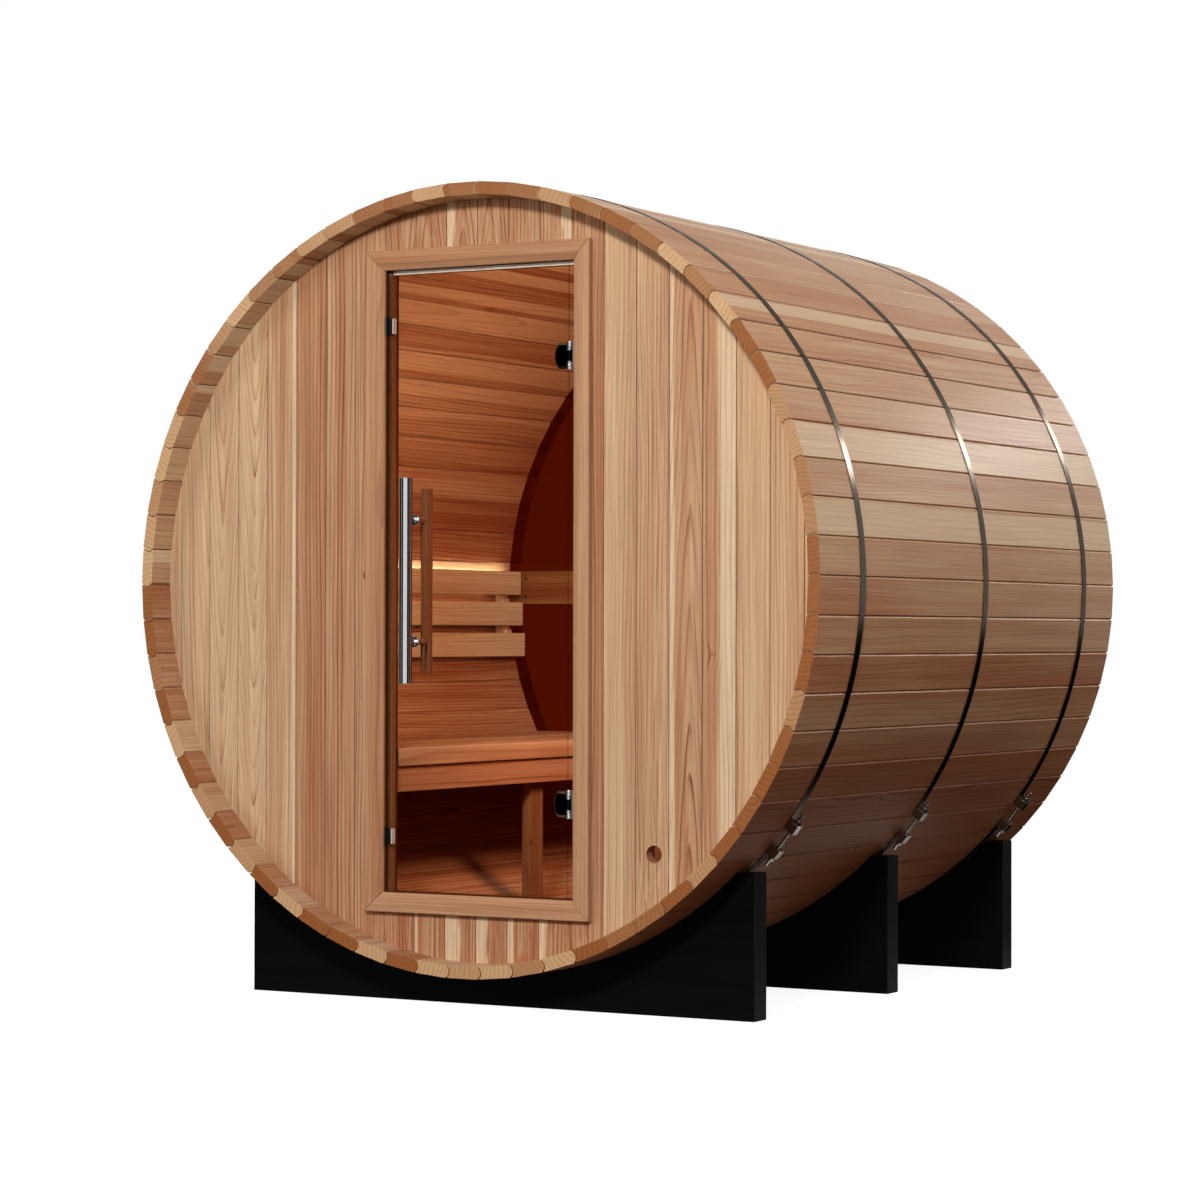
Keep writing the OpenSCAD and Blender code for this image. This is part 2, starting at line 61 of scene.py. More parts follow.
# places taken from the frame
BAND_LOW, BAND_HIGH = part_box("band_middle")
AXIS_Z = (BAND_LOW.z + BAND_HIGH.z) / 2
STAVE_LOW, STAVE_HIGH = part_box("staves_01")
WALL_LOW, WALL_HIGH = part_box("front_wall_left")
JAMB_LOW, JAMB_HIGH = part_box("door_jamb")
STAVE_NODES = ["staves_%02d" % n for n in range(1, 12)]
BARREL_RADIUS = max(math.hypot(v.co.x, v.co.z - AXIS_Z)
                    for n in STAVE_NODES for v in frame["nodes"][n].data.vertices)
GLASS_LOW, GLASS_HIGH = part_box("rear_glass_upper")
HINGE = Vector(frame["joints"][0]["pos_m"])

SHARP = math.radians(32)        # edges with a wider turn stay sharp
STAVE_SHARP = math.radians(28)
TRIM_EDGE = 0.0012              # rounding of the doorway trim
STAVE_SEED = 1201               # seed of the draws around the barrel
KNOT_FREE = 0.97                # share of the wood cells with no knot


def size(name, text, value, low=0.0):
    return FloatProperty(name=name, description=text, default=value, min=low,
                         unit="LENGTH", subtype="DISTANCE", precision=4)


def power(name, text, value):
    return FloatProperty(name=name, description=text, default=value)


def colour(name, text, value):
    return FloatVectorProperty(name=name, description=text, default=value,
                               subtype="COLOR", size=3, min=0.0, max=1.0)


class SaunaSizes(bpy.types.PropertyGroup):
    """Sizes of the dressed pieces."""
    radius: size("Barrel radius", "To the outer stave edges", BARREL_RADIUS)
    stave_count: IntProperty(name="Staves", description="Staves around the barrel",
                             default=66, min=12)
    stave_thickness: size("Stave thickness", "Wood between the two faces", 0.030)
    bead: size("Bead radius", "Radius of the bead on a stave edge", 0.016)
    joint: size("Joint play", "Play between a bead and its cove", 0.0015)
    arris: size("Eased edge", "Chamfer along the long stave edges", 0.0018)
    board_pitch: size("Board pitch", "Width of a front wall board", 0.085)
    board_shift: size("Board shift", "Place of one board joint left of the axis", 0.346)
    board_edge: size("Board edge", "Bevel along a board edge", 0.0016)
    board_gap: size("Board gap", "Gap between two boards", 0.0012)
    board_hold: size("Board hold", "How far a board goes into the stave groove", 0.005)
    plank_edge: size("Plank edge", "Rounding of the trim and bench edges", 0.0022)
    steel_edge: size("Steel edge", "Rounding of the steel edges", 0.0007)
    plate_bow: size("Plate bow", "Radius of the round side of a hinge plate", 0.044, 0.03)
    knuckle: size("Knuckle", "Height of a middle hinge knuckle", 0.036)
    screw: size("Screw head", "Radius of a rail screw head", 0.0042)
    screw_reach: size("Screw reach", "From the axis to a rail screw", 0.820)
    screw_rise: size("Screw rise", "Between two rail screws", 0.051)


class SaunaColours(bpy.types.PropertyGroup):
    """Colours of the finishes."""
    sapwood: colour("Sapwood", "Palest wood", (0.66, 0.455, 0.27))
    cream: colour("Cream", "Pale stripes of sapwood", (0.75, 0.57, 0.37))
    heartwood: colour("Heartwood", "Deepest wood", (0.40, 0.155, 0.070))
    late: colour("Late wood", "Darkening along the growth rings", (0.36, 0.115, 0.048))
    end_grain: colour("End grain", "Cut ends of the deepest staves", (0.31, 0.108, 0.031))
    end_pale: colour("Pale end", "Cut ends of the palest staves", (0.66, 0.42, 0.22))
    steel: colour("Steel", "Polished steel", (0.66, 0.66, 0.67))
    band: colour("Band", "Band steel", (0.116, 0.101, 0.089))
    black: colour("Black stain", "Stained cradles", (0.0022, 0.0019, 0.0020))
    bronze: colour("Bronze", "Light that the rear glass lets through", (0.070, 0.0040, 0.0002))
    glow: colour("Glow", "Lamp behind the backrest", (0.90, 1.0, 0.80))
    inside: colour("Inside", "Light in the cabin", (1.0, 0.62, 0.40))
    # Painted shade: this tint is multiplied into the stave faces inside the cabin, darkening them in place of the
    # dimmer light there.
    inner: colour("Inner face", "Deeper tone of the stave faces in the cabin", (0.92, 0.74, 0.66))
    # On the bench legs this tint is painted shade under the seat.
    grip: colour("Grip", "Deeper tone of the inner handle", (0.42, 0.29, 0.19))
    # The rail tint is partly deeper wood and partly painted shade; the doorway stops share it.
    rail: colour("Rail", "Deeper tone of the cross rail", (0.42, 0.28, 0.17))


class SaunaStage(bpy.types.PropertyGroup):
    """Camera and light."""
    lens: FloatProperty(name="Lens", description="Focal length in millimetres",
                        default=102.876, min=10.0)
    place: FloatVectorProperty(name="Camera", description="Place of the camera",
                               default=(4.2051, -7.5744, 0.8672), unit="LENGTH")
    turn: FloatVectorProperty(name="Turn", description="Yaw, pitch and roll in degrees",
                              default=(-29.776, 0.586, -0.129))
    ambient: power("Ambient", "Light of the room", 0.11)
    key: power("Key", "Power of the front lamp", 335.0)
    side: power("Side", "Power of the side lamp", 114.0)
    fill: power("Fill", "Power of the left front lamp", 135.0)
    rear: power("Rear", "Power of the rear lamp", 120.0)
    left: power("Left", "Power of the lamp at the left side", 70.0)
    hem: power("Hem", "Power of the lamp on the rear overhang", 4.0)
    inside: power("Inside", "Power of the cabin lamp", 11.2)
    lamp: power("Lamp", "Strength of the backrest lamp", 29.0)


def maths(operation, turned=False):
    """A method that adds a Math node for two values, in turned order if asked."""
    def method(self, other):
        pair = (other, self) if turned else (self, other)
        return self.finish.node("Math", {"operation": operation}, dict(enumerate(pair)))
    return method


class Val:
    """A shader socket. Sums on it add Math nodes."""
    __add__ = __radd__ = maths("ADD")
    __sub__ = maths("SUBTRACT")
    __rsub__ = maths("SUBTRACT", True)
    __mul__ = __rmul__ = maths("MULTIPLY")
    __truediv__ = maths("DIVIDE")
    __pow__ = maths("POWER")
    __gt__ = maths("GREATER_THAN")
    highest = maths("MAXIMUM")

    def __init__(self, finish, socket):
        self.finish = finish
        self.socket = socket

    def of(self, key):
        return Val(self.finish, self.socket.node.outputs[key])

    def calc(self, operation):
        return self.finish.node("Math", {"operation": operation}, {0: self})

    def clamped(self):
        return self.finish.node("Clamp", {}, {"Value": self})


class Finish:
    """One node material, or the node tree of the world."""

    def __init__(self, owner):
        owner.use_nodes = True
        self.owner = owner
        self.tree = owner.node_tree
        self.tree.nodes.clear()

    def node(self, kind, settings, values, out=0):
        made = self.tree.nodes.new("ShaderNode" + kind)
        for key, value in settings.items():
            setattr(made, key, value)
        for key, value in values.items():
            socket = made.inputs[key]
            if isinstance(value, Val):
                self.tree.links.new(value.socket, socket)
            elif socket.type == "RGBA":
                socket.default_value = (*value, 1)
            else:
                socket.default_value = value
        return Val(self, made.outputs[out]) if made.outputs else made

    def attribute(self, name, out="Fac"):
        return self.node("Attribute", {"attribute_name": name}, {}, out)

    def place(self):
        return self.node("TexCoord", {}, {}, "Object")

    def seen(self):
        """1 for what the camera, a mirror or glass sees."""
        path = self.node("LightPath", {}, {}, "Is Camera Ray")
        return path.highest(path.of("Is Glossy Ray")).highest(path.of("Is Transmission Ray"))

    def chance(self, value, out=0):
        return self.node("TexWhiteNoise", {"noise_dimensions": "1D"}, {"W": value}, out)

    def split(self, vector):
        first = self.node("SeparateXYZ", {}, {0: vector})
        return first, first.of(1), first.of(2)

    def join(self, x, y, z):
        return self.node("CombineXYZ", {}, {0: x, 1: y, 2: z})

    def noise(self, vector, scale, detail=2.0, rough=0.5):
        spread = self.node("VectorMath", {"operation": "MULTIPLY"},
                           {0: vector, 1: scale})
        return self.node("TexNoise", {}, {"Vector": spread, "Scale": 1.0,
                         "Detail": detail, "Roughness": rough})

    def ramp(self, value, stops):
        made = self.node("ValToRGB", {}, {"Fac": value})
        elements = made.socket.node.color_ramp.elements
        while len(elements) < len(stops):
            elements.new(1.0)
        for element, (position, grey) in zip(elements, stops):
            element.position = position
            element.color = (grey, grey, grey, 1)
        return made

    def mix(self, share, first, second, blend="MIX"):
        return self.node("Mix", {"data_type": "RGBA", "blend_type": blend},
                         {0: share, 6: first, 7: second}, 2)

    def bump(self, height, strength, distance):
        return self.node("Bump", {}, {"Height": height, "Strength": strength,
                                                "Distance": distance})

    def surface(self, **sockets):
        values = {key.replace("_", " "): value for key, value in sockets.items()}
        return self.close(self.node("BsdfPrincipled", {}, values))

    def close(self, shader, kind="OutputMaterial"):
        self.node(kind, {}, {"Surface": shader})
        return self.owner


def finish(name):
    return Finish(bpy.data.materials.new(name))


def cedar(name, c, rough=0.5, ring=0.010, lines=0.5, streak=1.0, gloss=0.05,
          over=None, inner=None):
    """Cedar whose rings, streaks and fibres follow the grain attributes of each board."""
    f = finish(name)
    grain = f.attribute("grain", "Vector")
    tone, end, seed = f.attribute("tone"), f.attribute("end"), f.attribute("seed")
    chance = f.chance(seed, 1)
    b = f.split(chance)[1]
    shift = f.node("VectorMath", {"operation": "SCALE"}, {0: chance, "Scale": 31.0})
    wood = f.node("VectorMath", {"operation": "ADD"}, {0: grain, 1: shift})
    across, depth, along = f.split(grain)
    aside, under, lean = f.split(f.attribute("pith", "Vector"))
    left, right, spare = f.split(f.attribute("sap", "Vector"))
    warp = f.noise(wood, (6.0, 6.0, 1.2), 2.0, 0.45)
    wave = f.noise(wood, (46.0, 46.0, 3.2), 1.0)
    side, below = across - aside, depth + under
    reach = (side * side + below * below) ** 0.5
    cells = f.node("TexVoronoi", {}, {"Vector": wood, "Scale": 9.0})
    picked = f.split(cells.of("Color"))[0] > KNOT_FREE
    eye = ((0.5 - cells) / 0.5).clamped() ** 2 * picked
    reach = reach + along * lean + warp * 0.042 + wave * 0.003 + eye * 0.020
    turns = reach / ((0.75 + b * 0.6) * ring)
    rings = f.ramp(turns.calc("FRACT"), [(0.0, 0.0), (0.55, 0.04), (0.80, 0.42), (0.93, 1.0),
                                         (1.0, 0.0)])
    force = f.chance(turns.calc("FLOOR") + seed * 7.3)
    streaks = f.noise(wood, (26.0, 26.0, 0.5), 3.0, 0.6)
    bands = f.noise(wood, (105.0, 105.0, 1.5), 2.0, 0.55)
    fibres = f.noise(wood, (820.0, 820.0, 17.0), 2.0, 0.6)
    pores = f.noise(wood, (300.0, 300.0, 4.0), 2.0, 0.55)
    share = tone + (streaks - 0.5) * (2.2 * streak) + (bands - 0.5) * (1.2 * streak)
    face, pale = 1.0, 0.8
    if inner is not None:
        face = ((-inner - depth) / 0.002).clamped()
        cabin = ((along - WALL_LOW.y) / 0.004).clamped() \
            * ((GLASS_LOW.y - along) / 0.004).clamped()
        # deep marks the stave faces inside the cabin, where the tint multiplied in below is painted shade.
        deep = face * cabin
        # low grows toward the bottom of the barrel; on the outer faces it draws the tone deeper there as painted
        # shade.
        low = (AXIS_Z - f.split(f.place())[2]) / BARREL_RADIUS
        share = 0.58 + (share - 0.58) * (0.65 + deep * 0.75) \
            + (face - deep) * ((spare.clamped() - 0.6) * 0.5 - 0.10) \
            + ((warp - 0.5) * 0.7 + low.clamped() * 0.6) * (1 - face)
        pale = 0.55 + face * 0.25
        lines = lines * (0.65 + deep * 0.70)
    body = f.mix(share.clamped(), c.sapwood, c.heartwood)
    edge = across + (warp - 0.5) * 0.03 + (streaks - 0.5) * 0.012
    creamy = ((edge - left) / 0.003).clamped() * ((right - edge) / 0.003).clamped()
    body = f.mix(creamy * pale, body, c.cream)
    force = (0.25 + force * 0.75) * lines * (1 - creamy * 0.45) \
        * (0.6 + tone * 0.6).clamped()
    body = f.mix(rings * force, body, c.late, "MULTIPLY")
    shade = 1 + (fibres * 0.45 + pores * 0.75 - 0.60) * (0.6 + face * 0.4)
    body = f.mix(1.0, body, f.join(shade, shade, shade), "MULTIPLY")
    # The tint multiplied in here is painted shade on the stave faces inside the cabin, on the doorway lining and
    # on the bench legs; on the rail and the stops it is partly deeper wood and partly painted shade.
    if over is not None:
        body = f.mix(face if inner is None else deep, body, over, "MULTIPLY")
    knot = ((0.11 - cells) / 0.05).clamped() * picked
    body = f.mix(knot * 0.8, body, c.late, "MULTIPLY")
    cut = f.mix((spare + (tone - 0.5) * 0.4).clamped(), c.end_pale, c.end_grain)
    body = f.mix(end * 0.85, body, f.mix(rings * 0.5, cut, c.late, "MULTIPLY"))
    return f.surface(Base_Color=body, Roughness=(rough + (fibres - 0.5) * 0.18 + rings * 0.06),
                     Specular_IOR_Level=gloss,
                     Normal=f.bump(fibres * 0.6 + rings * 0.5, 0.18, 0.0007))


def metal(name, base, rough, scale=(60.0, 60.0, 900.0), spread=0.06, slant=(1, 1, 1)):
    """Drawn or polished metal with faint lines and uneven gloss."""
    f = finish(name)
    lines = f.noise(f.place(), scale, 2.0)
    clouds = f.noise(f.place(), (9.0, 9.0, 9.0), 2.0)
    dark = tuple(0.82 * v for v in base)
    return f.surface(Base_Color=f.mix(clouds * 0.6 + lines * 0.3, dark, base), Metallic=1.0,
                     Specular_Tint=slant,
                     Roughness=(rough + (lines - 0.5) * spread + (clouds - 0.5) * spread))


def thread_metal(name, base, turn):
    """Cast steel with screw threads along the clamp rods."""
    f = finish(name)
    along = f.node("Mapping", {}, {"Vector": f.place(), "Rotation": (0, turn, 0)})
    turns = (f.split(along)[2] * 2600.0).calc("SINE")
    grit = f.noise(f.place(), (420.0, 420.0, 420.0), 3.0)
    dark = tuple(0.45 * v for v in base)
    return f.surface(Base_Color=f.mix(grit, dark, base), Metallic=1.0,
                     Specular_Tint=(0.6, 0.58, 0.55), Roughness=0.10 + grit * 0.12,
                     Normal=f.bump(turns * 0.25 + grit, 0.25, 0.0006))


def glass(name, tint, gloss):
    """Glass that tints what is seen through its two faces and reflects more at a slant."""
    f = finish(name)
    clouds = f.noise(f.place(), (3.0, 3.0, 1.2), 2.0)
    share = f.node("Fresnel", {}, {"IOR": 1.46}) \
        * (gloss * 0.9 + clouds * (gloss * 0.2))
    face = tuple(math.sqrt(v) for v in tint)
    through = f.node("BsdfTransparent", {}, {"Color": face})
    mirror = f.node("BsdfAnisotropic", {}, {"Color": (1, 1, 1), "Roughness": 0.01})
    return f.close(f.node("MixShader", {}, {0: share.clamped(), 1: through, 2: mirror}))


def stain(name, base):
    """Black stain on sawn wood, with a faint grain sheen."""
    f = finish(name)
    grain = f.attribute("grain", "Vector")
    fibres = f.noise(grain, (500.0, 500.0, 9.0), 3.0, 0.6)
    broad = f.noise(grain, (40.0, 40.0, 2.0), 2.0)
    pale = tuple(3.5 * v for v in base)
    return f.surface(Base_Color=f.mix(fibres * broad, base, pale),
                     Roughness=0.34 + fibres * 0.25, Specular_IOR_Level=0.02,
                     Normal=f.bump(fibres + broad, 0.4, 0.001))


def plastic(name, dark, pale, tip=None):
    """Moulded plastic with a fine grit, and a frosted tip to the right of one place."""
    f = finish(name)
    grit = f.noise(f.place(), (700.0, 700.0, 700.0), 2.0)
    body = f.mix(grit, dark, pale)
    if tip is not None:
        body = f.mix((f.split(f.place())[0] - tip) / 0.0005, body, (0.60, 0.42, 0.35))
    return f.surface(Base_Color=body, Roughness=0.30 + grit * 0.2, Specular_IOR_Level=0.12,
                     Normal=f.bump(grit, 0.1, 0.0003))


def lamp_glow(name, tint, strength):
    """Warm lamp bar that shines at the wall, with rows of brighter spots."""
    f = finish(name)
    spots = (f.split(f.place())[1] * 190.0).calc("SINE") * 0.25 + 0.75
    side = f.split(f.node("TexCoord", {}, {}, "Normal"))[0]
    bright = ((-0.4 - side) / 0.1).clamped() * spots
    return f.surface(Base_Color=(0.8, 0.7, 0.6), Roughness=0.5, Emission_Strength=strength,
                     Emission_Color=f.mix(bright, tuple(0.06 * v for v in tint), tint))


MADE = {}


def finishes(context):
    """All finishes, made once from the colours."""
    if MADE:
        return MADE
    c = context.scene.sauna_colours
    for key, looks in (
            ("stave", dict(rough=0.42, lines=0.85, streak=0.75, gloss=0.042, over=c.inner,
                           inner=0.011)),
            ("wall", dict(lines=1.3, streak=0.8)),
            ("trim", dict(ring=0.007, streak=0.5)),
            ("rail", dict(ring=0.007, over=c.rail)),
            # The lining tint is painted shade of the recess between the casing and the glass.
            ("lining", dict(ring=0.007, over=tuple(0.4 * v for v in c.rail))),
            ("grip", dict(ring=0.006, over=c.grip)),
            ("bench", dict(lines=1.0, streak=0.8))):
        MADE[key] = cedar("cedar_" + key, c, **looks)
    low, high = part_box("door_strikes")
    black = ((0.004, 0.004, 0.005), (0.012, 0.012, 0.013))
    MADE.update(
        steel=metal("polished_steel", c.steel, 0.09),
        band=metal("band_steel", c.band, 0.20, (900.0, 40.0, 900.0), 0.12, (0.42, 0.41, 0.40)),
        plate=metal("hinge_black", (0.006, 0.006, 0.006), 0.10, slant=(0.3, 0.3, 0.3)),
        bevel=metal("hinge_bevel", (0.12, 0.078, 0.052), 0.42),
        clamp=thread_metal("clamp_steel", (0.38, 0.355, 0.32), math.radians(39)),
        screw=metal("screw_steel", (0.05, 0.045, 0.04), 0.35),
        clear=glass("clear_glass", (0.97, 0.975, 0.97), 0.22),
        edge=glass("glass_edge", (0.50, 0.60, 0.55), 0.30),
        bronze=glass("bronze_glass", c.bronze, 0.12),
        black=stain("cradle_black", c.black),
        catch=plastic("catch_black", *black),
        strike=plastic("strike_black", *black, tip=low.x + 0.62 * (high.x - low.x)),
        # A pale strip for the front face of the head stop: partly a seal, partly a painted highlight on a face in
        # shade.
        seal=plastic("door_seal", (0.82, 0.67, 0.52), (0.90, 0.76, 0.62)),
        lamp=lamp_glow("lamp_glow", c.glow, context.scene.sauna_stage.lamp))
    return MADE


class Tree:
    """A Geometry Nodes tree. Its nodes come from one method, which gives their first output."""

    def __init__(self, name, inputs, output):
        self.tree = bpy.data.node_groups.new(name, "GeometryNodeTree")
        for label, kind in inputs:
            self.tree.interface.new_socket(label, in_out="INPUT", socket_type="NodeSocket" + kind)
        self.tree.interface.new_socket(output, in_out="OUTPUT", socket_type="NodeSocketGeometry")
        self.given = self.tree.nodes.new("NodeGroupInput").outputs

    def add(self, kind, values, **settings):
        made = self.tree.nodes.new(kind)
        for key, value in settings.items():
            setattr(made, key, value)
        for key, value in values.items():
            socket = made.inputs[key] if isinstance(key, int) else \
                next(s for s in made.inputs if s.name == key and s.enabled)
            if isinstance(value, bpy.types.NodeSocket):
                self.tree.links.new(value, socket)
            else:
                socket.default_value = value
        return next(s for s in made.outputs if s.enabled)

    def maths(self, operation, *values):
        return self.add("ShaderNodeMath", dict(enumerate(values)), operation=operation)

    def close(self, geometry, material):
        done = self.add("GeometryNodeSetMaterial", {"Geometry": geometry, "Material": material})
        self.tree.links.new(done, self.tree.nodes.new("NodeGroupOutput").inputs[0])
        return self.tree


def linked(name, data):
    """A new object in the scene."""
    made = bpy.data.objects.new(name, data)
    bpy.context.scene.collection.objects.link(made)
    return made


def circle(radius, count):
    """Points around a circle."""
    return [(radius * math.cos(math.tau * i / count), radius * math.sin(math.tau * i / count))
            for i in range(count)]


def grown(context, name, mesh, tree, values):
    """The plain mesh that a node tree makes from a blank."""
    blank = linked(name, mesh)
    copies = blank.modifiers.new("copies", "NODES")
    copies.node_group = tree
    inputs = {i.name: i.identifier for i in tree.interface.items_tree if i.in_out == "INPUT"}
    for label, value in values.items():
        copies[inputs[label]] = value
    context.view_layer.update()
    done = blank.evaluated_get(context.evaluated_depsgraph_get())
    made = bpy.data.meshes.new_from_object(done)
    made.name = name
    bpy.data.objects.remove(blank)
    return made


def mesh_of(bm, name, sharp=None):
    """The finished mesh, shaded smooth up to an angle where one is given."""
    mesh = bpy.data.meshes.new(name)
    bm.to_mesh(mesh)
    bm.free()
    worn = mesh.attributes.get("custom_normal")
    if worn:
        mesh.attributes.remove(worn)
    if sharp:
        mesh.shade_smooth()
        mesh.set_sharp_from_angle(angle=sharp)
    return mesh


def skin(bm, one, two, look=0):
    """Faces between two closed loops of corners."""
    for i in range(len(one)):
        j = (i + 1) % len(one)
        bm.faces.new((one[i], one[j], two[j], two[i])).material_index = look


def settle(name, mesh, body, slot, material, *nodes):
    """Makes a finished mesh an object that rides on a body and stands for CAD nodes."""
    piece = linked(name, mesh)
    if material is not None:
        mesh.materials.clear()
        mesh.materials.append(material)
    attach(piece, body)
    if nodes:
        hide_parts(*nodes)
    return piece


def rounded(piece, width, segments=2):
    """Rounds the edges of a piece."""
    edge = piece.modifiers.new("edges", "BEVEL")
    edge.width = width
    edge.segments = segments
    edge.limit_method = "ANGLE"
    edge.angle_limit = SHARP
    edge.harden_normals = True
    return piece


def coat(nodes, material):
    """Gives CAD nodes a finish."""
    for node in nodes:
        target = frame["nodes"][node]
        target.data.materials.clear()
        target.data.materials.append(material)


def islands(bm):
    """Separate solids of a mesh, as lists of corners."""
    left, found = set(bm.verts), []
    while left:
        stack, group = [left.pop()], []
        while stack:
            v = stack.pop()
            group.append(v)
            for e in v.link_edges:
                w = e.other_vert(v)
                if w in left:
                    left.remove(w)
                    stack.append(w)
        found.append(group)
    return sorted(found, key=lambda g: tuple(round(sum(v.co[i] for v in g) / len(g), 4)
                                             for i in range(3)))


def grain_layers(bm):
    """Layers that hold the grain of each board."""
    made = {key: bm.verts.layers.float_vector.new(key) for key in ("grain", "pith", "sap")}
    made.update({key: bm.verts.layers.float.new(key) for key in ("seed", "tone")})
    made["end"] = bm.faces.layers.float.new("end")
    return made


def mark_board(group, layers, seed, tone, pith=None, sap=None):
    """Gives the corners of one board its seed, its tone, its pith line and its sapwood stripe."""
    draw = random.Random(int(seed * 10))
    drawn = (draw.choice((-1, 1)) * draw.uniform(0.03, 0.24), draw.uniform(0.012, 0.05),
             draw.uniform(-0.012, 0.012))
    for v in group:
        v[layers["seed"]] = seed
        v[layers["tone"]] = tone
        v[layers["pith"]] = pith or drawn
        v[layers["sap"]] = (*(sap or (1.0, 0.0)), 0.8)


def lay_grain(group, layers, seed, tone, axis=None):
    """Writes the grain of one board, which runs along its longest side."""
    low = [min(v.co[i] for v in group) for i in range(3)]
    high = [max(v.co[i] for v in group) for i in range(3)]
    order = sorted(range(3), key=lambda i: high[i] - low[i])
    if axis is not None:
        order.remove(axis)
        order.append(axis)
    thin, wide, run = order
    for v in group:
        place = [v.co[i] - (low[i] + high[i]) / 2 for i in range(3)]
        v[layers["grain"]] = (place[wide], place[thin], place[run])
    mark_board(group, layers, seed, tone)
    for face in {f for v in group for f in v.link_faces}:
        face[layers["end"]] = 1.0 if abs(face.normal[run]) > 0.8 else 0.0


def dressed(node, name, slot, material, width, tones=(0.5,), seed=1, body="cabin", axis=None):
    """A copy of a CAD node with whole faces, rounded edges and a grain on each of its boards."""
    bm = bmesh.new()
    bm.from_mesh(frame["nodes"][node].data)
    bmesh.ops.remove_doubles(bm, verts=bm.verts, dist=1e-5)
    bmesh.ops.dissolve_limit(bm, angle_limit=math.radians(0.1), verts=[], edges=bm.edges)
    bm.normal_update()
    layers = grain_layers(bm)
    for i, group in enumerate(islands(bm)):
        lay_grain(group, layers, seed + 1.7 * i, tones[i % len(tones)], axis)
    piece = settle(name, mesh_of(bm, name, SHARP), body, slot, material, node)
    return rounded(piece, width) if width else piece


